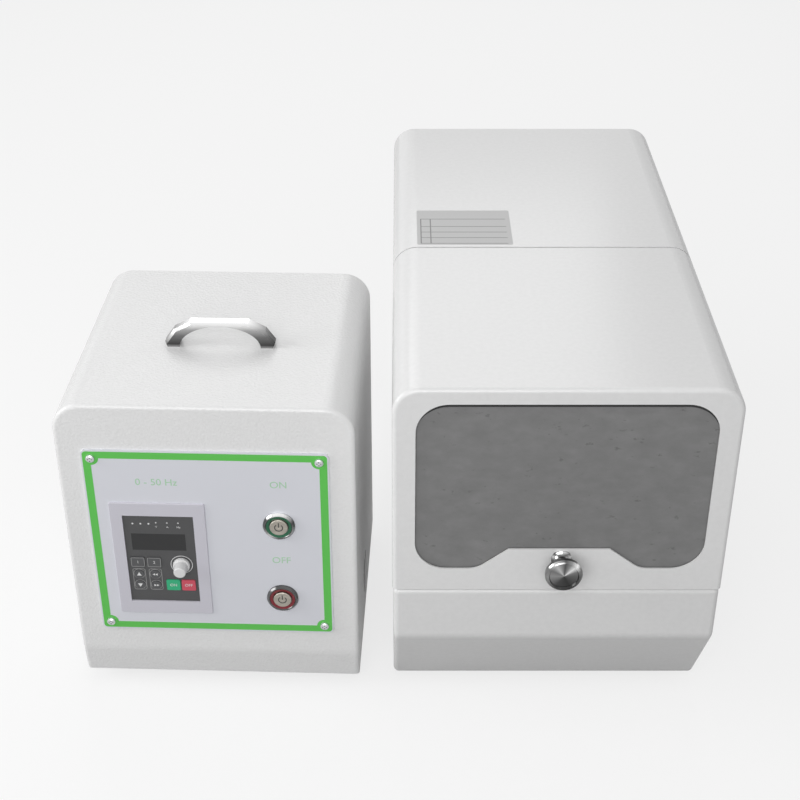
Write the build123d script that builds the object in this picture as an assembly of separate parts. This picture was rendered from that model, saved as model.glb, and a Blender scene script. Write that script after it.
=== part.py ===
from build123d import *
import os
from math import atan2, cos, pi, radians, sin, tan

# Bench-top vibration mill with a separate speed control box.
# The mill stands at +X and the control box at -X, both with their fronts towards -Y.
# The origin is at the middle of the whole, on the bench. All lengths are millimetres.

# ---- casings -------------------------------------------------------------------------
foot_height = 12.0
unit_gap = 29.0             # between the two units' sides, before the control box is turned
sheet = 1.5                 # hood, rear housing and control box steel
tray_sheet = 2.0
bend_radius = 3.5

mill_width = 260.0
mill_depth = 515.0
mill_height = 315.0         # above the tray's underside
mill_roll = 21.0            # long rolled corners at both sides of the top
hood_depth = 235.0
split_gap = 2.0             # between the hood and the rear housing
hood_bottom = 130.0         # height of the covers' lower edges
tray_step = 0.6             # tray's outer faces inside the covers'
tray_bend = 4.0             # rolled edge round the tray's shoulder
tray_corner = 4.5
seam_gap = 1.0              # between the shoulder and the covers
lap_height = 12.0           # how far the tray's lip stands up inside the covers
lip_corner = 2.0
kick_height = 80.0          # where the tray's front turns back towards the feet
kick_depth = 49.0
kick_bend = 14.0
rim_width = 12.0

box_width = 236.0
box_depth = 230.0
box_height = 272.0
box_roll = 24.0
box_setback = 44.5          # middle of the control box front behind the mill front
box_turn = 2.0              # degrees that the control box stands turned towards the mill
toe_height = 28.0
toe_depth = 5.0
toe_bend = 30.0

# ---- hood window ---------------------------------------------------------------------
window_side = 17.5          # casing left beside the window
window_top = 302.0
lobe_bottom = 150.5
notch_top = 169.5
notch_half = 39.5
notch_foot = 24.5           # run of the slanted edges beside the notch
window_corner = 25.0
lobe_bend = 18.0
panel_thick = 3.0
panel_lap = 8.0             # panel and gasket behind the casing, round the window
gasket_thick = 1.0
gasket_back = 1.0           # gasket's edge behind the casing's
gasket_reveal = 2.8         # gasket in sight along the window's top
stud_radius = 2.0
stud_hole_gap = 0.15
nut_radius = 3.8
nut_height = 3.0

# ---- hood knob and catch -------------------------------------------------------------
knob_x = 2.0
knob_height = 160.5
knob_radius = 14.5
knob_reach = 23.0
knob_stem = 4.0
rosette_radius = 8.2
rosette_height = 5.5
strike_thick = 2.0
strike_half = 28.0
strike_shelf = 11.0
magnet_height = 2.5
magnet_half = 20.0
magnet_depth = 8.0
sensor_x = 56.0
sensor_length = 30.0
sensor_height = 8.0
sensor_gap = 2.0

# ---- hood hinge ----------------------------------------------------------------------
hinge_back = 12.0           # pivot behind the rear housing's front edge
hinge_down = 12.0           # pivot below the top skin
hinge_pin = 3.0
hinge_boss = 6.5
hinge_plate = 3.0
ear_x = 100.0               # inner side of each ear, from the mill's middle
ear_drop = 17.5             # inside of the ear's crook below the pivot
ear_bar = 10.0
ear_front = 24.0            # inside of the ear's crook in front of the pivot
ear_foot = 20.0
side_gap = 0.5
running_gap = 0.05

# ---- milling platform ----------------------------------------------------------------
bulkhead_back = 31.0        # bulkhead behind the hood's split
bulkhead_thick = 2.0
fit_gap = 0.3
mount_height = 30.0
mount_radius = 15.0
mount_waist = 11.0
mount_washer = 2.5
mount_x = 68.0
mount_front = 95.0
mount_rear = 420.0
platform_half = 90.0
platform_front = 68.0
platform_rear = 455.0
platform_thick = 5.0
platform_lip = 12.0
slot_half = 100.0           # half the width of the bulkhead's pass for the platform
slot_top = 78.0

# ---- vibration motor -----------------------------------------------------------------
motor_y = 368.0
shaft_height = 64.0         # above the platform
motor_radius = 48.0
fin_radius = 56.0
fin_count = 16
fin_thick = 3.0
motor_half = 62.0
stator_bore = 36.0
shield_thick = 9.0
bearing_radius = 16.0
bearing_width = 9.0
shaft_radius = 7.5
rotor_radius = 35.0
rotor_half = 42.0
cover_radius = 52.0
cover_depth = 40.0
cover_wall = 2.5
cover_dome = 12.0
weight_radius = 43.0
weight_hub = 14.0
weight_thick = 12.0
weight_gap = 1.5
shaft_end_gap = 4.0
motor_foot = 10.0
motor_foot_half = 58.0

# ---- jar clamp -----------------------------------------------------------------------
clamp_y = 140.0
clamp_base = 8.0
clamp_half = 44.0
jar_height = 40.0           # jar axis above the clamp base
jar_start = -66.0           # jar's closed end
jar_length = 72.0
jar_radius = 30.0
jar_wall = 5.0
jar_lid_radius = 32.0
jar_lid_length = 16.0
jar_end_gap = 0.2
seal_thick = 1.5
seat_thick = 4.0
seat_lip = 5.0
seat_wall = 3.0
upright_thick = 12.0
upright_top = 22.0
upright_far = 58.0          # inner face of the upright that carries the screw
jaw_thick = 14.0
jaw_pad_thick = 3.0
jaw_boss_radius = 11.0
jaw_boss_length = 13.0
clamp_travel = 14.0
screw_radius = 6.0
screw_engaged = 8.0
journal_radius = 7.0
collar_radius = 10.0
collar_thick = 4.0
rod_radius = 5.0
rod_spread = 30.0
rod_drop = 26.0
handwheel_radius = 27.0
handwheel_lobe = 7.0
handwheel_lobes = 6
handwheel_thick = 14.0
handwheel_hub = 11.0

# ---- feet ----------------------------------------------------------------------------
mill_foot_radius = 17.0
mill_foot_inset = 38.0
box_foot_radius = 12.0
box_foot_inset = 32.0
foot_taper = 2.0

# ---- round cable sockets -------------------------------------------------------------
socket_radius = 9.0
socket_neck = 10.0          # in the wall
socket_nut = 12.0           # collar and body behind the wall
socket_bore = 7.0
socket_reach = 12.0
socket_flange = 13.0
socket_flange_thick = 2.5
socket_floor = 5.0
socket_body = 14.0
contact_radius = 1.0
contact_ring = 3.2
contact_length = 4.0
inlet_x = 70.0
inlet_z = 62.0

# ---- rear housing details ------------------------------------------------------------
louvre_length = 56.0
louvre_height = 4.0
louvre_pitch = 12.0
louvre_count = 6
louvre_z = 190.0
housing_screw_radius = 2.0
housing_screw_head = 3.6
housing_screw_length = 8.0
screw_boss = 5.0

# ---- control box front ---------------------------------------------------------------
panel_width = 195.0
panel_height = 180.0
panel_bottom = 51.8
panel_sheet = 2.0
panel_corner = 4.0
panel_border = 11.0         # casing left behind the panel's edge
screw_inset = 7.5
screw_head = 3.8
screw_head_height = 2.4
screw_shank = 2.0
screw_length = 9.0

frame_x = -41.5             # middle of the drive's frame, from the box's middle
frame_z = 126.6
frame_width = 77.0
frame_height = 112.0
frame_proud = 1.5
frame_edge = 0.4
frame_lip = 2.0
frame_tail = 8.0
keypad_width = 57.0
keypad_height = 87.0
keypad_thick = 4.0
keypad_recess = 1.2
display_width = 44.0
display_height = 16.5
display_thick = 1.0
display_dx = -1.2
display_dz = 17.0
key_corner = 1.2
key_gap = 0.2
key_proud = 0.8
key_pocket = 2.6
key_travel = 0.5
arrow_key = 4.1             # radius of the four arrow keys
pot_dx = 15.8
pot_dz = -5.6
pot_skirt = 7.0
pot_skirt_height = 3.0
pot_base = 5.8
pot_top = 4.9
pot_height = 11.5
pot_shaft = 3.0
drive_depth = 118.0
drive_fins = 9
drive_fin_depth = 22.0

button_x = 56.0
start_z = 162.7
stop_z = 88.8
bezel_radius = 13.0
bezel_height = 3.0
bezel_bore = 7.7
barrel_radius = 11.0
barrel_length = 24.0
button_radius = 7.4
button_proud = 0.6
button_travel = 2.0
button_stem = 4.0
nut_flat = 13.5
nut_thick = 3.0
block_half = 9.0
block_length = 22.0

# ---- control box carry handle --------------------------------------------------------
handle_x = 2.5
handle_y = 98.0
handle_foot = 43.2          # half the handle's length at its feet
handle_knee = 45.3
handle_knee_height = 4.5
handle_elbow = 37.5
handle_elbow_height = 15.5
handle_shoulder = 24.0
handle_height = 22.5
handle_inner = 33.3
handle_inner_height = 19.2
handle_depth = 11.0
handle_facet = 2.2

# ---- control box fan and rear --------------------------------------------------------
fan_y = 100.0
fan_z = 38.0
fan_size = 40.0
fan_thick = 10.0
fan_bore = 18.8
fan_hub = 9.0
fan_blades = 7
blade_thick = 1.6
blade_tip_gap = 0.8
guard_wire = 1.3
guard_rings = 3
back_inset = 2.0
power_x = -45.0
power_z = 70.0
power_width = 27.0
power_height = 20.0
power_recess_width = 24.0
power_recess_height = 16.5
power_recess = 15.0
power_flange_width = 48.0
power_flange_height = 24.0
power_body = 22.0
outlet_x = 45.0

# ---- places of the two units ---------------------------------------------------------
turn = radians(box_turn)
box_left = bend_radius + (box_width / 2 - bend_radius) * cos(turn) - bend_radius * sin(turn)
total_width = box_left + box_width / 2 + unit_gap + mill_width
mill_x = total_width / 2 - mill_width / 2
box_x = box_left - total_width / 2
mill_y = (knob_reach + tray_step - mill_depth - socket_reach) / 2
box_y = mill_y + box_setback

tray_shoulder = hood_bottom - seam_gap
tray_top = hood_bottom + lap_height
tray_half = mill_width / 2 - tray_step
lip_inset = tray_step + tray_bend
lip_inner = mill_width / 2 - lip_inset - tray_sheet
housing_screw_z = hood_bottom + lap_height / 2
floor_top = tray_sheet
hinge_y = hood_depth + split_gap + hinge_back
hinge_z = mill_height - hinge_down
bulkhead_y = hood_depth + bulkhead_back
platform_z = floor_top + mount_height
plate_top = platform_z + platform_thick
motor_z = plate_top + shaft_height
jar_z = plate_top + clamp_base + jar_height
jar_end = jar_start + jar_length
jaw_x = jar_end + jar_end_gap + jaw_pad_thick
panel_y = sheet + gasket_thick
panel_top = window_top + panel_lap
frame_front = -panel_sheet - frame_proud
keypad_front = frame_front + keypad_recess


def group(pieces):
    """Several separate solids as one part."""
    return Compound([solid for piece in pieces for solid in piece.solids()])


def slab(x0, x1, y0, y1, z0, z1):
    """A block between two corners."""
    return Pos((x0 + x1) / 2, (y0 + y1) / 2, (z0 + z1) / 2) * Box(x1 - x0, y1 - y0, z1 - z0)


def rod_x(x0, x1, y, z, radius):
    """A round bar along X."""
    return Pos((x0 + x1) / 2, y, z) * Rot(0, 90, 0) * Cylinder(radius, x1 - x0)


def rod_y(x, y0, y1, z, radius):
    """A round bar along Y."""
    return Pos(x, (y0 + y1) / 2, z) * Rot(90, 0, 0) * Cylinder(radius, y1 - y0)


def rod_z(x, y, z0, z1, radius):
    """A round bar along Z."""
    return Pos(x, y, (z0 + z1) / 2) * Cylinder(radius, z1 - z0)


def turned_y(x, z, outline):
    """A turned piece about Y, from (radius, y) points."""
    face = make_face(Polyline(*outline, close=True))
    return Pos(x, 0, z) * revolve(face, Axis.Y)


def turned_z(x, y, outline):
    """A turned piece about Z, from (radius, z) points."""
    face = make_face(Polyline(*outline, close=True))
    return Pos(x, y, 0) * revolve(Plane.XZ * face, Axis.Z)


def across_y(sketch, y0, y1):
    """A sketch drawn in X and Z, pulled from y0 to y1."""
    return Pos(0, y0, 0) * extrude(Plane.XZ * sketch, amount=y1 - y0, dir=(0, 1, 0))


def across_x(sketch, x0, x1):
    """A sketch drawn in Y and Z, pulled from x0 to x1."""
    return Pos(x0, 0, 0) * extrude(Plane.YZ * sketch, amount=x1 - x0)


def rolled_outline(half, z0, z1, roll):
    """Front outline of a folded cover: straight sides and two rolled top corners."""
    outline = Pos(0, (z0 + z1) / 2) * Rectangle(2 * half, z1 - z0)
    return fillet(outline.vertices().group_by(Axis.Y)[-1], roll)


def cover_block(half, y0, y1, z0, z1, roll, bend, closed_end):
    """Solid of a folded cover whose closed end (0 the front, -1 the back) is bent all round."""
    block = across_y(rolled_outline(half, z0, z1, roll), y0, y1)
    end = block.faces().filter_by(Axis.Y).sort_by(Axis.Y)[closed_end]
    rim = [edge for edge in end.edges() if edge.center().Z > z0 + bend / 2]
    return fillet(rim, bend)


def window_outline():
    """The hood's window: a rounded rectangle with two lobes beside a middle notch."""
    half = mill_width / 2 - window_side
    foot = notch_half + notch_foot
    face = make_face(
        Polyline(
            (-half, lobe_bottom),
            (-foot, lobe_bottom),
            (-notch_half, notch_top),
            (notch_half, notch_top),
            (foot, lobe_bottom),
            (half, lobe_bottom),
            (half, window_top),
            (-half, window_top),
            close=True,
        )
    )
    corners = [v for v in face.vertices() if abs(abs(v.X) - half) < 0.01]
    face = fillet(corners, window_corner)
    feet = [v for v in face.vertices() if abs(abs(v.X) - foot) < 0.01]
    return fillet(feet, lobe_bend)


def backing_outline():
    """Outer edge of the gasket and the panel behind the window."""
    half = mill_width / 2 - window_side + panel_lap
    low = lobe_bottom - panel_lap
    outline = Pos(0, (low + panel_top) / 2) * Rectangle(2 * half, panel_top - low)
    outline = fillet(outline.vertices().group_by(Axis.Y)[-1], window_corner + panel_lap)
    return fillet(outline.vertices().group_by(Axis.Y)[0], panel_lap)


def stud_places():
    """The eight studs that hold the panel, as (x, z), in the middle of its lap."""
    side = mill_width / 2 - window_side + panel_lap / 2
    top = window_top + panel_lap / 2
    low = lobe_bottom - panel_lap / 2
    upper = window_top - 2 * window_corner
    lower = notch_top + window_corner
    places = []
    for sign in (-1, 1):
        places.append((sign * side, upper))
        places.append((sign * side, lower))
        places.append((sign * side / 2, top))
        places.append((sign * (notch_half + notch_foot + lobe_bend), low))
    return places


# ---- mill: fixed pieces --------------------------------------------------------------
def tray_block(inset):
    """The tray's solid form: slanted kick, flat bottom and a rolled shoulder all round."""
    front = tray_step + inset
    top = tray_shoulder - inset
    back = mill_depth - front
    lean = atan2(kick_depth, kick_height)
    face = make_face(
        Polyline(
            (front, kick_height + inset * tan(lean / 2)),
            (tray_step + kick_depth + inset * tan(pi / 4 - lean / 2), inset),
            (back, inset),
            (back, top),
            (front, top),
            close=True,
        )
    )
    bend = face.vertices().sort_by(lambda v: abs(v.X - front) + abs(v.Y - kick_height))[0]
    face = fillet(bend, kick_bend - inset)
    half = tray_half - inset
    block = across_x(face, -half, half)
    rim = []
    for side in block.faces().filter_by(Axis.X):
        rim += [edge for edge in side.edges() if edge.center().Z < top - 1]
    block = fillet(rim, tray_corner - inset)
    crest = block.faces().sort_by(Axis.Z)[-1].edges()
    return fillet(crest, tray_bend - inset)


def lip_block(inset, z0, z1):
    """An upright block as wide as the tray's lip, less an inset all round."""
    front = lip_inset + inset
    half = mill_width / 2 - front
    block = slab(-half, half, front, mill_depth - front, z0, z1)
    if inset < lip_corner:
        block = fillet(block.edges().filter_by(Axis.Z), lip_corner - inset)
    return block


def make_base_tray():
    """Folded tray: a shoulder under the covers and a lip with a rim that stands up in them."""
    tray = tray_block(0) - tray_block(tray_sheet)
    tray += lip_block(0, tray_shoulder - tray_sheet, tray_top)
    tray -= lip_block(tray_sheet, tray_shoulder - 2 * tray_sheet, tray_top - tray_sheet)
    tray -= lip_block(tray_sheet + rim_width, tray_top - 2 * tray_sheet, tray_top + 1)
    for x, y, facing in housing_screw_places():
        boss = rod_y(0, sheet, lip_inset, 0, screw_boss)
        tray += Pos(x, y, housing_screw_z) * Rot(0, 0, facing) * boss
    for screw in placed_housing_screws():
        tray -= screw
    wall = mill_depth - tray_step
    return tray - rod_y(inlet_x, wall - 2 * tray_sheet, wall + 1, inlet_z, socket_neck)


def feet(half_x, y_front, y_back, radius):
    """Four tapered rubber feet between the bench and the underside."""
    made = []
    for x in (-half_x, half_x):
        for y in (y_front, y_back):
            outline = [
                (0, -foot_height),
                (radius - foot_taper, -foot_height),
                (radius, 0),
                (0, 0),
            ]
            made.append(turned_z(x, y, outline))
    return group(made)


def make_base_feet():
    """The mill's feet, behind the slanted kick."""
    front = tray_step + kick_depth + mill_foot_inset
    return feet(
        tray_half - mill_foot_inset,
        front,
        mill_depth - tray_step - mill_foot_inset,
        mill_foot_radius,
    )


def housing_screw_places():
    """Screws that pin the rear housing to the tray: (x, y, turn about Z)."""
    first = hood_depth + split_gap + mill_foot_inset
    last = mill_depth - mill_foot_inset
    half = mill_width / 2
    places = [(side * half, y, 90 * side) for side in (-1, 1) for y in (first, last)]
    places += [(x, mill_depth, 180) for x in (-half / 2, half / 2)]
    return places


def housing_screw():
    """One countersunk screw at the origin, its flush head towards -Y."""
    outline = [
        (0, 0),
        (housing_screw_head, 0),
        (housing_screw_radius, sheet),
        (housing_screw_radius, housing_screw_length),
        (0, housing_screw_length),
    ]
    return turned_y(0, 0, outline)


def placed_housing_screws():
    """The rear housing's screws where they sit."""
    made = []
    for x, y, facing in housing_screw_places():
        made.append(Pos(x, y, housing_screw_z) * Rot(0, 0, facing) * housing_screw())
    return made


def make_rear_housing():
    """Folded cover over the motor, open in front and below, louvred at the back."""
    half = mill_width / 2
    y0 = hood_depth + split_gap
    outer = cover_block(
        half, y0, mill_depth, hood_bottom, mill_height, mill_roll, bend_radius, -1
    )
    inner = cover_block(
        half - sheet,
        y0 - 1,
        mill_depth - sheet,
        hood_bottom - bend_radius,
        mill_height - sheet,
        mill_roll - sheet,
        bend_radius - sheet,
        -1,
    )
    housing = outer - inner
    slot = SlotOverall(louvre_length, louvre_height)
    for side in (-1, 1):
        for row in range(louvre_count):
            place = Pos(side * mill_width / 5, louvre_z + row * louvre_pitch)
            housing -= across_y(place * slot, mill_depth - 2 * sheet, mill_depth + 1)
    for screw in placed_housing_screws():
        housing -= screw
    return housing


def make_chamber_bulkhead():
    """Wall between the milling chamber and the motor, with a pass for the platform."""
    half = mill_width / 2 - sheet - fit_gap
    top = mill_height - sheet - fit_gap
    wall = rolled_outline(half, tray_top, top, mill_roll - sheet - fit_gap)
    low = lip_inner - rim_width - fit_gap
    wall += Pos(0, (floor_top + tray_top) / 2) * Rectangle(2 * low, tray_top - floor_top)
    wall -= Pos(0, (floor_top + slot_top) / 2) * Rectangle(2 * slot_half, slot_top - floor_top)
    return across_y(wall, bulkhead_y, bulkhead_y + bulkhead_thick)


def bracket_span(side):
    """The two X faces of one hinge bracket's web, lower one first."""
    near = ear_x + hinge_plate + side_gap
    return sorted((side * near, side * (near + hinge_plate)))


def make_hinge_brackets():
    """Two angle brackets on the bulkhead with the hood's headed pivot pins."""
    made = []
    for side in (-1, 1):
        x0, x1 = bracket_span(side)
        web = Pos(hinge_y, hinge_z) * Circle(hinge_boss)
        web += Pos((hinge_y + bulkhead_y) / 2, hinge_z) * Rectangle(
            bulkhead_y - hinge_y, 2 * hinge_boss
        )
        bracket = across_x(web, x0, x1)
        near = ear_x + hinge_plate + side_gap
        f0, f1 = sorted((side * near, side * (near + 4 * hinge_plate)))
        bracket += slab(
            f0,
            f1,
            bulkhead_y - hinge_plate,
            bulkhead_y,
            hinge_z - 3 * hinge_boss,
            hinge_z + hinge_boss,
        )
        head = ear_x - side_gap
        p0, p1 = sorted((side * head, side * near))
        bracket += rod_x(p0, p1, hinge_y, hinge_z, hinge_pin)
        h0, h1 = sorted((side * head, side * (head - hinge_plate / 2)))
        bracket += rod_x(h0, h1, hinge_y, hinge_z, 1.5 * hinge_pin)
        made.append(bracket)
    return group(made)


def catch_y():
    """Back of the panel, where the catch plate is clamped."""
    return panel_y + panel_thick


def make_catch_magnet():
    """Magnet bar on the tray's front rim."""
    y0 = catch_y() + strike_thick
    magnet = slab(
        -magnet_half, magnet_half, y0, y0 + magnet_depth, tray_top, tray_top + magnet_height
    )
    return fillet(magnet.edges().filter_by(Axis.Z), 1.5)


def make_interlock_switch():
    """Sealed reed switch on the rim, read by the magnet block on the hood."""
    y0 = catch_y() + strike_thick
    x0 = sensor_x - sensor_length / 2
    body = slab(
        x0, x0 + sensor_length, y0, y0 + magnet_depth, tray_top, tray_top + sensor_height
    )
    return fillet(body.edges().filter_by(Axis.Z), 1.5)


def mount_places():
    """Where the rubber mounts stand."""
    return [(x, y) for x in (-mount_x, mount_x) for y in (mount_front, mount_rear)]


def make_isolation_mounts():
    """Waisted rubber mounts with flat ends between the tray and the platform."""
    made = []
    for x, y in mount_places():
        z0 = floor_top
        z1 = platform_z
        outline = [
            (0, z0),
            (mount_radius, z0),
            (mount_radius, z0 + mount_washer),
            (mount_waist, z0 + 3 * mount_washer),
            (mount_waist, z1 - 3 * mount_washer),
            (mount_radius, z1 - mount_washer),
            (mount_radius, z1),
            (0, z1),
        ]
        made.append(turned_z(x, y, outline))
    return group(made)


def round_socket(x, wall, z):
    """Four-pin round panel socket in a wall whose outer face is at y = wall, mouth to +Y."""
    end = wall + socket_reach
    back = wall - socket_body
    shell = rod_y(x, wall, end, z, socket_radius)
    shell += rod_y(x, wall - tray_sheet, wall, z, socket_neck)
    shell += rod_y(x, back, wall - tray_sheet, z, socket_nut)
    shell += rod_y(x, wall, wall + socket_flange_thick, z, socket_flange)
    shell -= rod_y(x, wall + socket_floor - socket_flange_thick, end + 1, z, socket_bore)
    floor = wall + socket_floor - socket_flange_thick
    for contact in range(4):
        angle = pi / 4 + contact * pi / 2
        px = x + contact_ring * cos(angle)
        pz = z + contact_ring * sin(angle)
        shell += rod_y(px, floor, floor + contact_length, pz, contact_radius)
    return shell


def make_motor_inlet():
    """Socket at the back of the tray for the lead from the control box."""
    return round_socket(inlet_x, mill_depth - tray_step, inlet_z)


# ---- mill: platform ------------------------------------------------------------------
def make_platform_plate():
    """Stiff plate with turned-down sides that carries the motor and the clamp."""
    plate = slab(
        -platform_half, platform_half, platform_front, platform_rear, platform_z, plate_top
    )
    for side in (-1, 1):
        x0, x1 = sorted((side * platform_half, side * (platform_half - platform_thick)))
        plate += slab(
            x0, x1, platform_front, platform_rear, platform_z - platform_lip, platform_z
        )
    plate = fillet(plate.edges().filter_by(Axis.Y).group_by(Axis.Z)[-1], bend_radius)
    return plate


def make_motor_body():
    """Finned stator housing with two feet and a bearing seat in each end wall."""
    body = rod_x(-motor_half, motor_half, motor_y, motor_z, motor_radius)
    for fin in range(fin_count):
        angle = 360 * (fin + 0.5) / fin_count
        blade = slab(
            shield_thick - motor_half,
            motor_half - shield_thick,
            -fin_thick / 2,
            fin_thick / 2,
            motor_radius / 2,
            fin_radius,
        )
        body += Pos(0, motor_y, motor_z) * Rot(angle, 0, 0) * blade
    for side in (-1, 1):
        x0, x1 = sorted((side * motor_half, side * (motor_half - 3 * shield_thick)))
        body += slab(
            x0,
            x1,
            motor_y - motor_foot_half,
            motor_y + motor_foot_half,
            plate_top,
            plate_top + motor_foot,
        )
        body += slab(
            x0,
            x1,
            motor_y - motor_radius * 0.75,
            motor_y + motor_radius * 0.75,
            plate_top,
            motor_z - motor_radius / 2,
        )
    inside = motor_half - shield_thick
    body -= rod_x(-inside, inside, motor_y, motor_z, stator_bore)
    return body - rod_x(-motor_half - 1, motor_half + 1, motor_y, motor_z, bearing_radius)


def make_motor_end_covers():
    """Domed caps over the out-of-balance weights."""
    end = motor_half + cover_depth
    slope = cover_dome / 2
    outline = [
        (cover_radius, motor_half),
        (cover_radius, end - cover_dome),
        (cover_radius - slope / 2, end - slope / 2),
        (cover_radius - cover_dome, end),
        (0, end),
        (0, end - cover_wall),
        (cover_radius - cover_dome, end - cover_wall),
        (cover_radius - cover_wall - slope / 2, end - cover_wall - slope / 2),
        (cover_radius - cover_wall, end - cover_dome),
        (cover_radius - cover_wall, motor_half),
    ]
    cap = Rot(0, 90, 0) * turned_z(0, 0, outline)
    return group([Pos(0, motor_y, motor_z) * Rot(0, 0, angle) * cap for angle in (0, 180)])


def make_motor_bearings():
    """Ball bearings in the end walls, as plain rings."""
    made = []
    for side in (-1, 1):
        x0, x1 = sorted((side * motor_half, side * (motor_half - bearing_width)))
        ring = rod_x(x0, x1, motor_y, motor_z, bearing_radius)
        made.append(ring - rod_x(x0, x1, motor_y, motor_z, shaft_radius + running_gap))
    return group(made)


def make_rotor():
    """Motor shaft with its laminated core."""
    end = motor_half + cover_depth - cover_wall - shaft_end_gap
    rotor = rod_x(-end, end, motor_y, motor_z, shaft_radius)
    return rotor + rod_x(-rotor_half, rotor_half, motor_y, motor_z, rotor_radius)


def make_eccentric_weights():
    """Two half-round weights at each end of the shaft, all hanging the same way."""
    made = []
    for side in (-1, 1):
        for step in range(2):
            near = motor_half + weight_gap + step * (weight_thick + weight_gap)
            x0, x1 = sorted((side * near, side * (near + weight_thick)))
            weight = rod_x(x0, x1, motor_y, motor_z, weight_radius)
            weight -= slab(
                x0,
                x1,
                motor_y - weight_radius,
                motor_y + weight_radius,
                motor_z + shaft_radius,
                motor_z + weight_radius,
            )
            weight += rod_x(x0, x1, motor_y, motor_z, weight_hub)
            made.append(weight - rod_x(x0, x1, motor_y, motor_z, shaft_radius))
    return group(made)


# ---- mill: jar clamp -----------------------------------------------------------------
def make_clamp_frame():
    """Clamp base with two uprights: one holds the jar seat, the other the screw."""
    left = jar_start - jar_end_gap - seat_thick - upright_thick
    right = upright_far + upright_thick
    base_top = plate_top + clamp_base
    frame = slab(left, right, clamp_y - clamp_half, clamp_y + clamp_half, plate_top, base_top)
    frame = fillet(frame.edges().filter_by(Axis.Z), bend_radius)
    profile = make_face(
        Polyline(
            (-clamp_half + bend_radius, base_top),
            (clamp_half - bend_radius, base_top),
            (upright_top, jar_z),
            (-upright_top, jar_z),
            close=True,
        )
    )
    profile += Pos(0, jar_z) * Circle(upright_top)
    profile = Pos(clamp_y, 0) * profile
    for x0 in (left, upright_far):
        frame += across_x(profile, x0, x0 + upright_thick)
    for y in (clamp_y - rod_spread, clamp_y + rod_spread):
        frame += rod_x(left, left + upright_thick, y, jar_z - rod_drop, 2 * rod_radius)
        frame += rod_x(upright_far, right, y, jar_z - rod_drop, 2 * rod_radius)
        frame -= rod_x(left - 1, right + 1, y, jar_z - rod_drop, rod_radius)
    bore = journal_radius + running_gap
    return frame - rod_x(upright_far - 1, right + 1, clamp_y, jar_z, bore)


def make_guide_rods():
    """Two ground rods that carry the moving jaw below the jar."""
    left = jar_start - jar_end_gap - seat_thick - upright_thick
    right = upright_far + upright_thick
    made = []
    for y in (clamp_y - rod_spread, clamp_y + rod_spread):
        made.append(rod_x(left, right, y, jar_z - rod_drop, rod_radius))
    return group(made)


def make_jar_seat():
    """Fixed seat with a half lip under the jar, open above so that the jar lifts out."""
    face = jar_start - jar_end_gap
    outer = jar_radius + fit_gap + seat_wall
    seat = rod_x(face - seat_thick, face, clamp_y, jar_z, outer)
    lip = rod_x(face, face + seat_lip, clamp_y, jar_z, outer)
    lip -= rod_x(face - 1, face + seat_lip + 1, clamp_y, jar_z, jar_radius + fit_gap)
    lip -= slab(
        face - 1,
        face + seat_lip + 1,
        clamp_y - 2 * outer,
        clamp_y + 2 * outer,
        jar_z,
        jar_z + 2 * outer,
    )
    return seat + lip


def make_clamp_screw():
    """Clamp screw: plain end in the jaw's nut, collar and journal in the upright."""
    tip = jaw_x + jaw_thick + jaw_boss_length - screw_engaged
    collar_end = upright_far - side_gap
    hub = upright_far + upright_thick + side_gap
    screw = rod_x(tip, collar_end, clamp_y, jar_z, screw_radius)
    screw += rod_x(collar_end - collar_thick, collar_end, clamp_y, jar_z, collar_radius)
    return screw + rod_x(collar_end, hub + handwheel_thick, clamp_y, jar_z, journal_radius)


def make_clamp_handwheel():
    """Lobed handwheel pressed on the screw's journal."""
    x0 = upright_far + upright_thick + side_gap
    ring = handwheel_radius - handwheel_lobe
    outline = Circle(ring)
    for lobe in range(handwheel_lobes):
        angle = 2 * pi * lobe / handwheel_lobes
        outline += Pos(ring * cos(angle), ring * sin(angle)) * Circle(handwheel_lobe)
    wheel = across_x(Pos(clamp_y, jar_z) * outline, x0 + 3, x0 + handwheel_thick)
    wheel += rod_x(x0, x0 + 3, clamp_y, jar_z, handwheel_hub)
    return wheel - rod_x(x0 - 1, x0 + handwheel_thick + 1, clamp_y, jar_z, journal_radius)


def make_clamp_jaw():
    """Moving jaw with its nut boss, guided on the two rods."""
    plate = Pos(clamp_y, jar_z) * Circle(jar_lid_radius - 2)
    wings = Pos(clamp_y, jar_z - rod_drop) * SlotCenterToCenter(
        2 * rod_spread, 3.2 * rod_radius
    )
    jaw = across_x(plate + wings, jaw_x, jaw_x + jaw_thick)
    end = jaw_x + jaw_thick + jaw_boss_length
    jaw += rod_x(jaw_x + jaw_thick, end, clamp_y, jar_z, jaw_boss_radius)
    bore = end - screw_engaged - clamp_travel - side_gap
    jaw -= rod_x(bore, end + 1, clamp_y, jar_z, screw_radius + running_gap)
    for y in (clamp_y - rod_spread, clamp_y + rod_spread):
        hole = rod_radius + running_gap
        jaw -= rod_x(jaw_x - 1, jaw_x + jaw_thick + 1, y, jar_z - rod_drop, hole)
    return jaw


def make_jaw_pad():
    """Rubber facing on the moving jaw."""
    return rod_x(jaw_x - jaw_pad_thick, jaw_x, clamp_y, jar_z, jar_radius - 6)


def make_jar_body():
    """Milling jar, open at the lid end."""
    end = jar_end - jar_lid_length / 2
    body = rod_x(jar_start, end - seal_thick, clamp_y, jar_z, jar_radius)
    body = chamfer(body.edges().sort_by(Axis.X)[0], 2)
    inner = rod_x(
        jar_start + jar_wall, end, clamp_y, jar_z, jar_radius - jar_wall
    )
    return body - inner


def make_jar_seal():
    """Flat ring between the jar's rim and its lid."""
    end = jar_end - jar_lid_length / 2
    ring = rod_x(end - seal_thick, end, clamp_y, jar_z, jar_radius)
    return ring - rod_x(end - seal_thick, end, clamp_y, jar_z, jar_radius - jar_wall)


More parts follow.
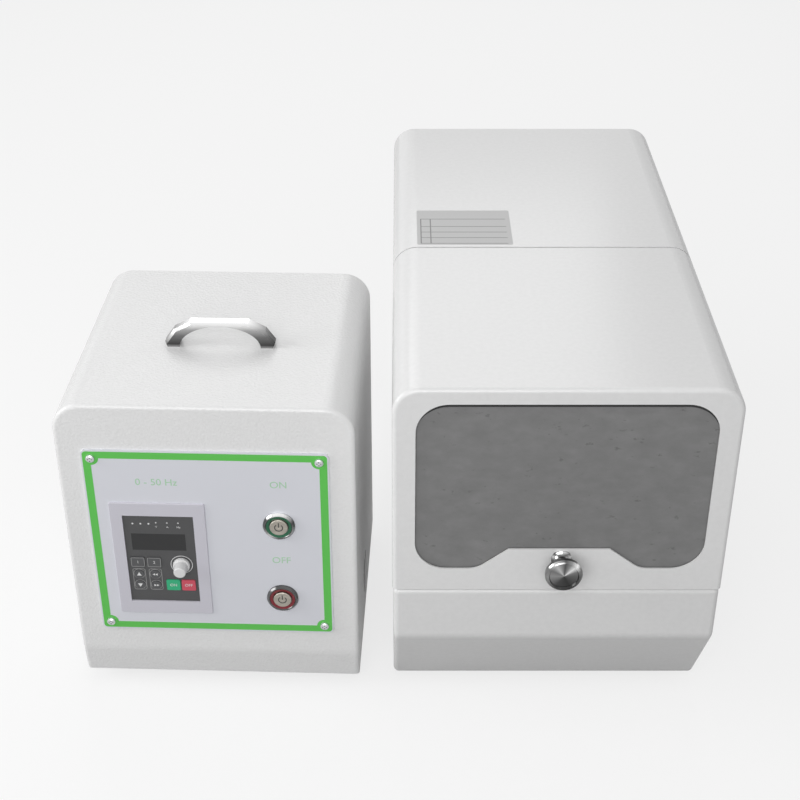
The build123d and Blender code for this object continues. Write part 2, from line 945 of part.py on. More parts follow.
def make_jar_lid():
    """Cap lid whose skirt comes down over the jar's rim."""
    end = jar_end - jar_lid_length / 2
    lid = rod_x(jar_end - jar_lid_length, jar_end, clamp_y, jar_z, jar_lid_radius)
    lid = chamfer(lid.edges().sort_by(Axis.X)[-1], 2)
    return lid - rod_x(
        jar_end - jar_lid_length - 1, end, clamp_y, jar_z, jar_radius + running_gap
    )


# ---- mill: hood ----------------------------------------------------------------------
def make_hood_shell():
    """Folded hood, open behind and below, with the window cut through its front."""
    half = mill_width / 2
    outer = cover_block(
        half, 0, hood_depth, hood_bottom, mill_height, mill_roll, bend_radius, 0
    )
    inner = cover_block(
        half - sheet,
        sheet,
        hood_depth + 1,
        hood_bottom - bend_radius,
        mill_height - sheet,
        mill_roll - sheet,
        bend_radius - sheet,
        0,
    )
    hood = outer - inner
    hood -= across_y(window_outline(), -1, sheet + 1)
    return hood - rod_y(knob_x, -1, sheet + 1, knob_height, stud_radius + stud_hole_gap)


def backing_holes():
    """Stud and knob holes through the gasket and the panel."""
    hole = stud_radius + stud_hole_gap
    holes = [
        rod_y(x, sheet - 1, catch_y() + 1, z, hole) for x, z in stud_places()
    ]
    holes.append(rod_y(knob_x, sheet - 1, catch_y() + 1, knob_height, hole))
    return holes


def make_window_gasket():
    """Foam gasket between the casing and the panel, in sight along the window's top."""
    opening = offset(window_outline(), amount=gasket_back)
    opening = opening & (Pos(0, -gasket_back - gasket_reveal) * opening)
    ring = backing_outline() - opening
    gasket = across_y(ring, sheet, panel_y)
    for hole in backing_holes():
        gasket -= hole
    return gasket


def make_window_panel():
    """Flat panel that fills the window from behind."""
    panel = across_y(backing_outline(), panel_y, catch_y())
    for hole in backing_holes():
        panel -= hole
    return panel


def make_hood_fasteners():
    """Welded studs with their nuts behind the panel, and the knob's nut."""
    made = []
    y1 = catch_y()
    for x, z in stud_places():
        stud = rod_y(x, sheet, y1 + nut_height + 1, z, stud_radius)
        nut = across_y(Pos(x, z) * RegularPolygon(nut_radius, 6), y1, y1 + nut_height)
        made.append(stud + nut)
    y1 += strike_thick
    outline = Pos(knob_x, knob_height) * RegularPolygon(nut_radius, 6)
    nut = across_y(outline, y1, y1 + nut_height)
    made.append(nut - rod_y(knob_x, y1 - 1, y1 + nut_height + 1, knob_height, stud_radius))
    return group(made)


def make_lid_knob():
    """Turned knob: flared head with a raised rim round an inset face."""
    tail = catch_y() + strike_thick + nut_height + 1
    reach = knob_reach
    rim = knob_radius - 3.0
    outline = [
        (0, tail),
        (stud_radius, tail),
        (stud_radius, 0),
        (knob_stem, 0),
        (knob_stem, 8 - reach / 2),
        (knob_stem, -reach * 0.42),
        (knob_stem + 1.5, -reach * 0.52),
        (knob_radius * 0.62, -reach * 0.62),
        (knob_radius * 0.9, -reach * 0.70),
        (knob_radius, -reach * 0.78),
        (knob_radius, -reach * 0.90),
        (knob_radius - 0.9, -reach * 0.97),
        (knob_radius - 1.8, -reach),
        (rim, -reach),
        (rim - 0.7, -reach + 1.3),
        (0, -reach + 0.9),
    ]
    return turned_y(knob_x, knob_height, outline)


def make_knob_rosette():
    """Flared rosette between the knob's stem and the casing."""
    inner = knob_stem + running_gap
    outline = [
        (inner, 0),
        (rosette_radius, 0),
        (rosette_radius, -rosette_height * 0.3),
        (rosette_radius * 0.8, -rosette_height * 0.5),
        (rosette_radius * 0.68, -rosette_height * 0.8),
        (rosette_radius * 0.66, -rosette_height),
        (inner, -rosette_height),
    ]
    return turned_y(knob_x, knob_height, outline)


def make_hinge_ears():
    """Crooked ears under the hood's top skin that reach round the housing's front edge."""
    skin = hinge_down - sheet
    crook = Circle(hinge_boss)
    crook += Pos(0, -(ear_drop + ear_bar) / 2) * Rectangle(ear_bar, ear_drop + ear_bar)
    low = -ear_drop - ear_bar / 2
    reach = ear_front + ear_bar
    crook += Pos((ear_bar / 2 - reach) / 2, low) * Rectangle(reach + ear_bar / 2, ear_bar)
    bar_height = skin + ear_drop + ear_bar
    crook += Pos(-ear_front - ear_bar / 2, skin - bar_height / 2) * Rectangle(
        ear_bar, bar_height
    )
    crook = Pos(hinge_y, hinge_z) * crook
    made = []
    for side in (-1, 1):
        x0, x1 = sorted((side * ear_x, side * (ear_x + hinge_plate)))
        ear = across_x(crook, x0, x1)
        f0, f1 = sorted((side * (ear_x - ear_foot), side * (ear_x + hinge_plate)))
        ear += slab(
            f0,
            f1,
            hinge_y - reach - ear_bar / 2,
            hinge_y - ear_front,
            hinge_z + skin - hinge_plate,
            hinge_z + skin,
        )
        bore = hinge_pin + running_gap
        made.append(ear - rod_x(x0 - 1, x1 + 1, hinge_y, hinge_z, bore))
    return group(made)


def make_catch_strike():
    """Plate clamped by the knob's nut: a shelf over the magnet and a block for the switch."""
    y0 = catch_y()
    y1 = y0 + strike_thick
    low = tray_top + magnet_height
    far = sensor_x + sensor_length / 2
    strike = slab(-strike_half, far, y0, y1, low, knob_height + 2 * nut_radius)
    strike += slab(-strike_half, strike_half, y0, y1 + strike_shelf, low, low + strike_thick)
    block = tray_top + sensor_height + sensor_gap
    strike += slab(
        sensor_x - sensor_length / 2, far, y0, y1 + magnet_depth, block, block + sensor_height
    )
    hole = stud_radius + stud_hole_gap
    return strike - rod_y(knob_x, y0 - 1, y1 + 1, knob_height, hole)


# ---- control box ---------------------------------------------------------------------
def box_block(inset):
    """The control box's solid form: rolled top corners and a slanted toe."""
    half = box_width / 2 - inset
    top = box_height - inset
    back = box_depth + inset
    block = across_y(rolled_outline(half, 0, top, box_roll - inset), inset, back)
    toe = make_face(
        Polyline(
            (inset, toe_height),
            (inset + toe_depth, 0),
            (inset + toe_depth, -1),
            (inset, -1),
            close=True,
        )
    )
    block -= across_x(toe, -half, half)
    lines = block.edges().filter_by(Axis.X)
    bend = lines.sort_by(lambda e: abs(e.center().Y - inset) + abs(e.center().Z - toe_height))
    block = fillet(bend[0], toe_bend - inset)
    rim = []
    for edge in block.edges():
        middle = edge.center()
        front = middle.Y < inset + toe_depth
        if front and middle.Z > 0.5 and abs(middle.X) > half - box_roll:
            rim.append(edge)
    lines = block.edges().filter_by(Axis.X)
    crest = lines.sort_by(lambda e: abs(e.center().Y - inset) + abs(e.center().Z - top))
    return fillet(rim + [crest[0]], bend_radius - inset)


def make_controller_case():
    """Folded case, open behind and below, with openings for the panel and the fan."""
    case = box_block(0) - box_block(sheet)
    hole = Pos(0, panel_bottom + panel_height / 2) * Rectangle(
        panel_width - 2 * panel_border, panel_height - 2 * panel_border
    )
    case -= across_y(hole, -1, sheet + 1)
    for x, z in panel_screw_places():
        case -= rod_y(x, -1, sheet + 1, z, screw_shank)
    wall = box_width / 2
    case -= rod_x(wall - 2 * sheet, wall + 1, fan_y, fan_z, fan_bore)
    for side in (-1, 1):
        case -= rod_z(
            handle_x + side * (handle_inner + handle_foot) / 2,
            handle_y,
            box_height - 2 * sheet,
            box_height + 1,
            screw_shank,
        )
    return case


def panel_screw_places():
    """Corner screws of the front panel, as (x, z)."""
    half = panel_width / 2 - screw_inset
    low = panel_bottom + screw_inset
    high = panel_bottom + panel_height - screw_inset
    return [(x, z) for x in (-half, half) for z in (low, high)]


def make_controller_chassis():
    """Bottom plate and back wall in one piece, with vent slots and connector holes."""
    half = box_width / 2 - sheet - fit_gap
    back = box_depth - back_inset
    top = box_height - sheet - fit_gap
    wall = rolled_outline(half, 0, top, box_roll - sheet - fit_gap)
    chassis = across_y(wall, back - tray_sheet, back)
    chassis += slab(-half, half, toe_depth + 2 * sheet + fit_gap, back, 0, tray_sheet)
    slot = SlotOverall(louvre_length, louvre_height)
    for row in range(louvre_count):
        place = Pos(0, box_height * 0.55 + row * louvre_pitch)
        chassis -= across_y(place * slot, back - tray_sheet - 1, back + 1)
    inlet = Pos(power_x, power_z) * Rectangle(power_width, power_height)
    chassis -= across_y(inlet, back - tray_sheet - 1, back + 1)
    return chassis - rod_y(outlet_x, back - tray_sheet - 1, back + 1, power_z, socket_neck)


def make_controller_feet():
    """The control box's feet."""
    return feet(
        box_width / 2 - box_foot_inset,
        toe_depth + box_foot_inset,
        box_depth - box_foot_inset,
        box_foot_radius,
    )


def make_carry_handle():
    """Faceted arch handle with an elliptical inner edge, and its two screws below."""
    outer = make_face(
        Polyline(
            (-handle_foot, 0),
            (-handle_knee, handle_knee_height),
            (-handle_elbow, handle_elbow_height),
            (-handle_shoulder, handle_height),
            (handle_shoulder, handle_height),
            (handle_elbow, handle_elbow_height),
            (handle_knee, handle_knee_height),
            (handle_foot, 0),
            close=True,
        )
    )
    outer -= Ellipse(handle_inner, handle_inner_height)
    arch = across_y(outer, -handle_depth / 2, handle_depth / 2)
    crest = [
        edge
        for edge in arch.edges()
        if edge.geom_type == GeomType.LINE
        and edge.center().Z > handle_knee_height
        and abs(edge.center().Y) > handle_depth / 4
    ]
    arch = chamfer(crest, handle_facet)
    arch = Pos(handle_x, handle_y, box_height) * arch
    for side in (-1, 1):
        x = handle_x + side * (handle_inner + handle_foot) / 2
        arch += rod_z(x, handle_y, box_height - screw_length, box_height, screw_shank)
    return arch


def key_places():
    """Keys by name: middle (x, z) from the keypad's middle, width, height."""
    left = -20.0
    step = 13.4
    return {
        "mode_key": (left, -3.4, 11.4, 9.6),
        "enter_key": (left + step, -3.4, 11.4, 9.6),
        "up_key": (left, -15.8, 2 * arrow_key, 2 * arrow_key),
        "down_key": (left, -27.0, 2 * arrow_key, 2 * arrow_key),
        "left_key": (left + step, -15.8, 2 * arrow_key, 2 * arrow_key),
        "right_key": (left + step, -27.0, 2 * arrow_key, 2 * arrow_key),
        "run_key": (7.6, -26.6, 11.4, 10.6),
        "reset_key": (20.2, -26.6, 11.4, 10.6),
    }


def key_outline(name, grow):
    """One key's outline, round for the arrow keys, grown by a clearance."""
    x, z, width, height = key_places()[name]
    shape = RectangleRounded(width + 2 * grow, height + 2 * grow, key_corner + grow)
    if width == 2 * arrow_key:
        shape = Circle(arrow_key + grow)
    return Pos(frame_x + x, frame_z + z) * shape


def make_key(name):
    """One key, standing a little out of the keypad."""
    back = keypad_front + key_pocket - key_travel - fit_gap
    return across_y(key_outline(name, 0), keypad_front - key_proud, back)


def make_front_panel():
    """Front plate with openings for the drive and the two push buttons."""
    face = Pos(0, panel_bottom + panel_height / 2) * RectangleRounded(
        panel_width, panel_height, panel_corner
    )
    face -= Pos(frame_x, frame_z) * Rectangle(
        frame_width - 2 * frame_lip, frame_height - 2 * frame_lip
    )
    panel = across_y(face, -panel_sheet, 0)
    for z in (start_z, stop_z):
        panel -= rod_y(button_x, -panel_sheet - 1, 1, z, barrel_radius)
    for x, z in panel_screw_places():
        panel -= rod_y(x, -panel_sheet - 1, 1, z, screw_shank)
    return panel


def make_panel_screws():
    """Four pan-head screws with nuts behind the casing."""
    made = []
    for x, z in panel_screw_places():
        top = -panel_sheet - screw_head_height
        outline = [
            (0, top),
            (screw_head * 0.62, top + 0.2),
            (screw_head * 0.9, top + screw_head_height * 0.4),
            (screw_head, -panel_sheet),
            (screw_shank, -panel_sheet),
            (screw_shank, screw_length - panel_sheet),
            (0, screw_length - panel_sheet),
        ]
        screw = turned_y(x, z, outline)
        nut = Pos(x, z) * RegularPolygon(nut_radius, 6)
        made.append(screw + across_y(nut, sheet, sheet + nut_height))
    return group(made)


def make_inverter_frame():
    """Snap-in frame of the drive, standing out from the panel."""
    outer = Pos(frame_x, frame_z) * RectangleRounded(frame_width, frame_height, 1.5)
    tail = Pos(frame_x, frame_z) * Rectangle(
        frame_width - 2 * frame_lip - fit_gap, frame_height - 2 * frame_lip - fit_gap
    )
    opening = Pos(frame_x, frame_z) * Rectangle(
        keypad_width + fit_gap, keypad_height + fit_gap
    )
    frame = across_y(outer, frame_front, -panel_sheet)
    frame = chamfer(frame.faces().sort_by(Axis.Y)[0].edges(), frame_edge)
    frame += across_y(tail, -panel_sheet, frame_tail)
    return frame - across_y(opening, frame_front - 1, frame_tail + 1)


def make_inverter_body():
    """Drive housing behind the panel, with cooling fins at its back."""
    half_w = frame_width / 2 - frame_lip - fit_gap
    half_h = frame_height / 2 - frame_lip - fit_gap
    y1 = frame_tail + drive_depth
    body = slab(
        frame_x - half_w, frame_x + half_w, frame_tail, y1, frame_z - half_h, frame_z + half_h
    )
    pitch = 2 * half_w / drive_fins
    for fin in range(1, drive_fins):
        x = frame_x - half_w + fin * pitch
        body -= slab(
            x - pitch / 4,
            x + pitch / 4,
            y1 - drive_fin_depth,
            y1 + 1,
            frame_z - half_h - 1,
            frame_z + half_h + 1,
        )
    post = slab(
        frame_x - keypad_width / 4,
        frame_x + keypad_width / 4,
        keypad_front + keypad_thick,
        frame_tail,
        frame_z - keypad_height / 4,
        frame_z + keypad_height / 4,
    )
    return body + post


def make_keypad_face():
    """Keypad plate with a pocket for each key, the display and the dial's shaft."""
    face = Pos(frame_x, frame_z) * Rectangle(keypad_width, keypad_height)
    plate = across_y(face, keypad_front, keypad_front + keypad_thick)
    for name in key_places():
        plate -= across_y(
            key_outline(name, key_gap), keypad_front - 1, keypad_front + key_pocket
        )
    display = Pos(frame_x + display_dx, frame_z + display_dz) * Rectangle(
        display_width, display_height
    )
    plate -= across_y(display, keypad_front - 1, keypad_front + display_thick)
    return plate - rod_y(
        frame_x + pot_dx,
        keypad_front - 1,
        keypad_front + keypad_thick - sheet / 2,
        frame_z + pot_dz,
        pot_shaft + running_gap,
    )


def make_display_window():
    """Dark window over the digits."""
    face = Pos(frame_x + display_dx, frame_z + display_dz) * Rectangle(
        display_width, display_height
    )
    return across_y(face, keypad_front, keypad_front + display_thick)


def make_pot_knob():
    """Speed dial: skirt, tapered grip and the shaft in the keypad."""
    face = keypad_front - fit_gap
    outline = [
        (0, keypad_front + keypad_thick - sheet),
        (pot_shaft, keypad_front + keypad_thick - sheet),
        (pot_shaft, face),
        (pot_skirt, face),
        (pot_skirt, face - pot_skirt_height + 1),
        (pot_skirt - 0.6, face - pot_skirt_height),
        (pot_base, face - pot_skirt_height),
        (pot_top, face - pot_height + 0.6),
        (pot_top - 0.6, face - pot_height),
        (0, face - pot_height),
    ]
    return turned_y(frame_x + pot_dx, frame_z + pot_dz, outline)


def make_button_bezels():
    """Chrome bezels on their threaded barrels, with the nut and contact block behind."""
    made = []
    front = -panel_sheet - bezel_height
    for z in (start_z, stop_z):
        outline = [
            (bezel_bore, front + 1.2),
            (bezel_radius - 2.6, front + 0.5),
            (bezel_radius - 2.2, front),
            (bezel_radius - 1.2, front),
            (bezel_radius, front + 1.6),
            (bezel_radius, -panel_sheet),
            (barrel_radius, -panel_sheet),
            (barrel_radius, barrel_length),
            (0, barrel_length),
            (0, barrel_length - 3),
            (bezel_bore, barrel_length - 3),
        ]
        bezel = turned_y(button_x, z, outline)
        nut = across_y(Pos(button_x, z) * RegularPolygon(nut_flat, 6), 0, nut_thick)
        bezel += nut - rod_y(button_x, 0, nut_thick, z, barrel_radius)
        bezel += slab(
            button_x - block_half,
            button_x + block_half,
            barrel_length,
            barrel_length + block_length,
            z - block_half,
            z + block_half,
        )
        made.append(bezel)
    return group(made)


def make_button(z):
    """Push button: a shallow dished cap on a stem inside the barrel."""
    front = -panel_sheet - bezel_height - button_proud
    seat = barrel_length - 3 - button_travel - side_gap
    outline = [
        (0, front + 0.4),
        (button_radius - 1.2, front),
        (button_radius - 0.4, front),
        (button_radius, front + 0.4),
        (button_radius, 6),
        (button_stem, 6),
        (button_stem, seat),
        (0, seat),
    ]
    return turned_y(button_x, z, outline)


def make_fan_frame():
    """Square fan frame inside the wall, with a ring guard and the motor's spider."""
    wall = box_width / 2 - sheet
    half = fan_size / 2
    body = slab(
        wall - fan_thick, wall, fan_y - half, fan_y + half, fan_z - half, fan_z + half
    )
    body = fillet(body.edges().filter_by(Axis.X), 3)
    body -= rod_x(wall - fan_thick - 1, wall + 1, fan_y, fan_z, fan_bore)
    hub = rod_x(wall - fan_thick, wall - fan_thick + 1.5, fan_y, fan_z, fan_hub)
    body += hub
    for angle in (0, 90):
        arm = slab(-1.5, 0, -half + 1, half - 1, -1.2, 1.2)
        body += Pos(wall - fan_thick + 1.5, fan_y, fan_z) * Rot(angle, 0, 0) * arm
    pitch = fan_bore / (guard_rings + 0.5)
    for ring in range(guard_rings):
        radius = pitch * (ring + 1)
        hoop = rod_x(wall - guard_wire, wall, fan_y, fan_z, radius)
        body += hoop - rod_x(wall - guard_wire, wall, fan_y, fan_z, radius - guard_wire)
    for angle in (45, 135):
        bar = slab(-guard_wire, 0, -fan_bore - 1, fan_bore + 1, -0.7, 0.7)
        body += Pos(wall, fan_y, fan_z) * Rot(angle, 0, 0) * bar
    return body


def make_fan_rotor():
    """Fan hub with seven pitched blades."""
    wall = box_width / 2 - sheet
    x0 = wall - fan_thick + 1.5 + fit_gap
    x1 = wall - guard_wire - side_gap
    rotor = rod_x(x0, x1, 0, 0, fan_hub)
    tip = fan_bore - blade_tip_gap
    blade = slab(
        -(x1 - x0) * 0.62, (x1 - x0) * 0.62, -blade_thick / 2, blade_thick / 2, fan_hub - 1, tip
    )
    blade = Pos((x0 + x1) / 2, 0, 0) * Rot(0, 0, 38) * blade
    keep = slab(x0, x1, -tip, tip, -tip, tip) & rod_x(x0, x1, 0, 0, tip)
    for step in range(fan_blades):
        rotor += (Rot(360 * step / fan_blades, 0, 0) * blade) & keep
    return Pos(0, fan_y, fan_z) * rotor


def make_power_inlet():
    """Mains inlet with three flat contacts in its recess."""
    back = box_depth - back_inset
    flange = Pos(power_x, power_z) * RectangleRounded(
        power_flange_width, power_flange_height, 3
    )
    body = Pos(power_x, power_z) * Rectangle(power_width - fit_gap, power_height - fit_gap)
    recess = Pos(power_x, power_z) * RectangleRounded(
        power_recess_width, power_recess_height, 2
    )
    face = back + 2
    inlet = across_y(flange, back, face) + across_y(body, back - power_body, back)
    inlet -= across_y(recess, face - power_recess, face + 1)
    for x, z in ((-7, -2), (7, -2), (0, 2)):
        inlet += slab(
            power_x + x - 1,
            power_x + x + 1,
            face - power_recess,
            face - power_recess * 0.45,
            power_z + z - 2,
            power_z + z + 2,
        )
    return inlet


def make_motor_outlet():
    """Socket for the lead to the mill."""
    return round_socket(outlet_x, box_depth - back_inset, power_z)


mill_parts = {
    "base_tray": make_base_tray(),
    "base_feet": make_base_feet(),
    "rear_housing": make_rear_housing(),
    "housing_screws": group(placed_housing_screws()),
    "chamber_bulkhead": make_chamber_bulkhead(),
    "hinge_brackets": make_hinge_brackets(),
    "catch_magnet": make_catch_magnet(),
    "interlock_switch": make_interlock_switch(),
    "isolation_mounts": make_isolation_mounts(),
    "motor_inlet": make_motor_inlet(),
    "platform_plate": make_platform_plate(),
    "motor_body": make_motor_body(),
    "motor_end_covers": make_motor_end_covers(),
    "motor_bearings": make_motor_bearings(),
    "rotor": make_rotor(),
    "eccentric_weights": make_eccentric_weights(),
    "clamp_frame": make_clamp_frame(),
    "guide_rods": make_guide_rods(),
    "jar_seat": make_jar_seat(),
    "clamp_screw": make_clamp_screw(),
    "clamp_handwheel": make_clamp_handwheel(),
    "clamp_jaw": make_clamp_jaw(),
    "jaw_pad": make_jaw_pad(),
    "jar_body": make_jar_body(),
    "jar_seal": make_jar_seal(),
    "jar_lid": make_jar_lid(),
    "hood_shell": make_hood_shell(),
    "window_gasket": make_window_gasket(),
    "window_panel": make_window_panel(),
    "hood_fasteners": make_hood_fasteners(),
    "lid_knob": make_lid_knob(),
    "knob_rosette": make_knob_rosette(),
    "hinge_ears": make_hinge_ears(),
    "catch_strike": make_catch_strike(),
}

control_parts = {
    "controller_case": make_controller_case(),
    "controller_chassis": make_controller_chassis(),
    "controller_feet": make_controller_feet(),
    "carry_handle": make_carry_handle(),
    "front_panel": make_front_panel(),
    "panel_screws": make_panel_screws(),
    "inverter_frame": make_inverter_frame(),
    "inverter_body": make_inverter_body(),
    "keypad_face": make_keypad_face(),
    "display_window": make_display_window(),
    "pot_knob": make_pot_knob(),
    "button_bezels": make_button_bezels(),
    "start_button": make_button(start_z),
    "stop_button": make_button(stop_z),
    "fan_frame": make_fan_frame(),
    "fan_rotor": make_fan_rotor(),
    "power_inlet": make_power_inlet(),
    "motor_outlet": make_motor_outlet(),
}
for key_name in key_places():
    control_parts[key_name] = make_key(key_name)

os.makedirs("parts", exist_ok=True)
for name, part in mill_parts.items():
    export_step(Pos(mill_x, mill_y, foot_height) * part, f"parts/{name}.step")
for name, part in control_parts.items():
    place = Pos(box_x, box_y, foot_height) * Rot(0, 0, -box_turn)
    export_step(place * part, f"parts/{name}.step")
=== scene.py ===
from math import cos, hypot, pi, radians, sin

import bpy
import numpy as np
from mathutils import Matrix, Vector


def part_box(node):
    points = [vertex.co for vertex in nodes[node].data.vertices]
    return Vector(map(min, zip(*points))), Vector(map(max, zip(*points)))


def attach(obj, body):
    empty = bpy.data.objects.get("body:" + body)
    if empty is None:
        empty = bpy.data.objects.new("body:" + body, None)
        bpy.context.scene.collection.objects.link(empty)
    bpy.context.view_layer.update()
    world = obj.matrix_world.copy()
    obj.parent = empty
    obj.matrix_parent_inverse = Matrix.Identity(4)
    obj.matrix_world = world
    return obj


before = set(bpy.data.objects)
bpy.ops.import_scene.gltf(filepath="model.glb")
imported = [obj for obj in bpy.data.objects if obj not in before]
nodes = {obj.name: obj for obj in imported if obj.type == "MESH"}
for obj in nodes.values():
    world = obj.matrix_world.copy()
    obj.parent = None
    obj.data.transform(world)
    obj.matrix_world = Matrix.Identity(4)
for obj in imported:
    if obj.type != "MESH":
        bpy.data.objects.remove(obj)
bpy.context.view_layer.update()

# Bench vibration mill and its speed control box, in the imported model's frame.
# The scene is in metres. Places on the two units are given in millimetres.
mm = 0.001

# ---- light ---------------------------------------------------------------------------
world_level = 0.36
behind_power = 12.0
front_power = 22.0
side_power = 16.0
floor_glow = 0.75           # share of plain white in the floor that the camera sees
mirror_glow = 0.30          # the same share in the floor that a reflection sees

# ---- sizes that the prints follow, in millimetres ------------------------------------
box_turn = radians(2.0)     # the control box stands turned by this
panel_sheet = 2.0
panel_half = 97.5
panel_bottom = 51.8
panel_top = 231.8
margin = 1.2                # plain edge outside the green border
border = 7.5
screw_inset = 7.5
bulge = 6.3                 # green round each corner screw
screw_face = 4.4            # screw heads in front of the casing
keypad_x = -41.5
keypad_z = 126.6
keypad_face = 2.3
key_face = 3.1
button_x = 56.0
start_z = 162.7
stop_z = 88.8
film = 0.08                 # thickness of a print
mill_height = 315.0
case_height = 272.0
legend_height = 6.2
# the cross on each corner screw head is painted shade of its cross recess
slot_half = 1.9             # cross in each corner screw's head
slot_thick = 0.38
head_radius = 2.36
head_dome = 0.2
bezel_rise = 3.0            # bezels in front of the panel, and pushes in front of those
push_rise = 0.6
left_column = keypad_x - 20.0
right_column = keypad_x - 6.6
run_column = keypad_x + 7.6
reset_column = keypad_x + 20.2
top_row = keypad_z - 3.4
upper_row = keypad_z - 15.8
lower_row = keypad_z - 27.0
word_row = keypad_z - 26.6
dial = (keypad_x + 15.8, keypad_z - 5.6)


def corner_box(node):
    """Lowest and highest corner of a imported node, as two arrays."""
    lo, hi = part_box(node)
    return np.array(lo, float), np.array(hi, float)


mill_lo, mill_hi = corner_box("hood_shell")
mill_left = mill_lo[0]
mill_front = mill_lo[1]
mill_mid = (mill_lo[0] + mill_hi[0]) / 2
floor_height = corner_box("controller_case")[0][2]
panel_middle = sum(corner_box("front_panel")) / 2
box_x = panel_middle[0] + 0.5 * panel_sheet * mm * sin(box_turn)
box_y = panel_middle[1] + 0.5 * panel_sheet * mm * cos(box_turn)


def on_box(x, y, z):
    """A place on the control box, from the middle of its front and its underside."""
    across = mm * (x * cos(box_turn) + y * sin(box_turn))
    along = mm * (y * cos(box_turn) - x * sin(box_turn))
    return box_x + across, box_y + along, floor_height + mm * z


def on_mill_top(x, y, z):
    """A place on the mill's top: z is the depth behind the front and -y the height over it."""
    return mill_mid + mm * x, mill_front + mm * z, floor_height + mm * (mill_height - y)


# ---- materials -----------------------------------------------------------------------
class Shade:
    """A node material that is built up link by link."""

    def __init__(self, name, colour, roughness=0.5, metallic=0.0):
        self.material = bpy.data.materials.new(name)
        self.material.use_nodes = True
        self.tree = self.material.node_tree
        self.shader = self.tree.nodes["Principled BSDF"]
        self.shader.inputs["Base Color"].default_value = (*colour, 1.0)
        self.shader.inputs["Roughness"].default_value = roughness
        self.shader.inputs["Metallic"].default_value = metallic
        self.coordinates = None

    def node(self, kind, **settings):
        """A new node with its settings or default input values."""
        made = self.tree.nodes.new(kind)
        for key, value in settings.items():
            if hasattr(made, key):
                setattr(made, key, value)
            else:
                made.inputs[key.replace("_", " ")].default_value = value
        return made

    def link(self, source, target):
        """Joins an output socket to an input socket."""
        self.tree.links.new(source, target)

    def math(self, operation, *values):
        """A math node over sockets or plain numbers."""
        made = self.node("ShaderNodeMath", operation=operation)
        for socket, value in zip(made.inputs, values):
            if isinstance(value, (int, float)):
                socket.default_value = value
            else:
                self.link(value, socket)
        return made.outputs[0]

    def where(self):
        """The object coordinates, in metres."""
        if self.coordinates is None:
            self.coordinates = self.node("ShaderNodeTexCoord")
        return self.coordinates.outputs["Object"]

    def axes(self):
        """The object coordinates as three numbers."""
        split = self.node("ShaderNodeSeparateXYZ")
        self.link(self.where(), split.inputs[0])
        return split.outputs

    def noise(self, scale, detail=2.0, roughness=0.5, stretch=None):
        """Noise over the object coordinates."""
        made = self.node("ShaderNodeTexNoise", Scale=scale, Detail=detail, Roughness=roughness)
        place = self.where()
        if stretch is not None:
            mapping = self.node("ShaderNodeMapping")
            mapping.inputs["Scale"].default_value = stretch
            self.link(place, mapping.inputs["Vector"])
            place = mapping.outputs["Vector"]
        self.link(place, made.inputs["Vector"])
        return made.outputs["Fac"]

    def ramp(self, value, stops):
        """Colours over a value from (position, colour) stops."""
        made = self.node("ShaderNodeValToRGB")
        band = made.color_ramp
        while len(band.elements) < len(stops):
            band.elements.new(0.5)
        for element, (place, colour) in zip(band.elements, stops):
            element.position = place
            element.color = (*colour, 1.0)
        self.link(value, made.inputs["Fac"])
        return made.outputs["Color"]

    def tint(self, colour):
        """Joins a colour socket to the shader's base colour."""
        self.link(colour, self.shader.inputs["Base Color"])

    def bump(self, height, strength, distance):
        """Fine relief on the shader's normal."""
        made = self.node("ShaderNodeBump", Strength=strength, Distance=distance)
        self.link(height, made.inputs["Height"])
        self.link(made.outputs["Normal"], self.shader.inputs["Normal"])


def scaled(colour, factor):
    """A colour made darker or lighter."""
    return tuple(min(factor * part, 1.0) for part in colour)


def grey(level):
    """A neutral colour."""
    return (level, level, level)


def paint(name, colour, roughness=0.22, grain=420.0, relief=0.0002, strength=0.4):
    """Powder coat with an orange-peel surface."""
    shade = Shade(name, colour, roughness)
    peel = shade.noise(grain, 2.0, 0.45)
    shade.tint(shade.ramp(peel, [(0.3, scaled(colour, 0.98)), (0.7, scaled(colour, 1.01))]))
    shade.bump(peel, strength, relief)
    return shade.material


def plain(name, colour, roughness=0.5, metallic=0.0, grain=900.0, relief=0.00005):
    """Plastic, rubber or metal with a faint grain."""
    shade = Shade(name, colour, roughness, metallic)
    shade.bump(shade.noise(grain, 3.0), 0.3, relief)
    return shade.material


def brushed(name, colour, roughness=0.3, stretch=(40.0, 40.0, 900.0)):
    """Metal with fine lines."""
    shade = Shade(name, colour, roughness, 1.0)
    lines = shade.noise(1.0, 3.0, 0.6, stretch)
    shade.tint(shade.ramp(lines, [(0.3, scaled(colour, 0.85)), (0.7, scaled(colour, 1.1))]))
    shade.bump(lines, 0.2, 0.00003)
    return shade.material


def reflection_wedges(name, centre, stops, roughness):
    """Chrome whose painted reflections and highlights run as light and dark sectors round a centre in X and Z.
    """
    shade = Shade(name, stops[0][1], roughness, 1.0)
    x, _, z = shade.axes()
    dx = shade.math("SUBTRACT", x, float(centre[0]))
    dz = shade.math("SUBTRACT", z, float(centre[1]))
    angle = shade.math("ARCTAN2", dz, dx)
    share = shade.math("MULTIPLY_ADD", angle, 0.5 / pi, 0.5)
    shade.tint(shade.ramp(share, stops))
    return shade.material


def height_reflections(name, low, high, stops, roughness, metallic=1.0):
    """Chrome with painted reflections and highlights as colour bands between two heights."""
    shade = Shade(name, stops[0][1], roughness, metallic)
    z = shade.axes()[2]
    share = shade.math("DIVIDE", shade.math("SUBTRACT", z, float(low)), float(high - low))
    shade.tint(shade.ramp(share, stops))
    return shade.material


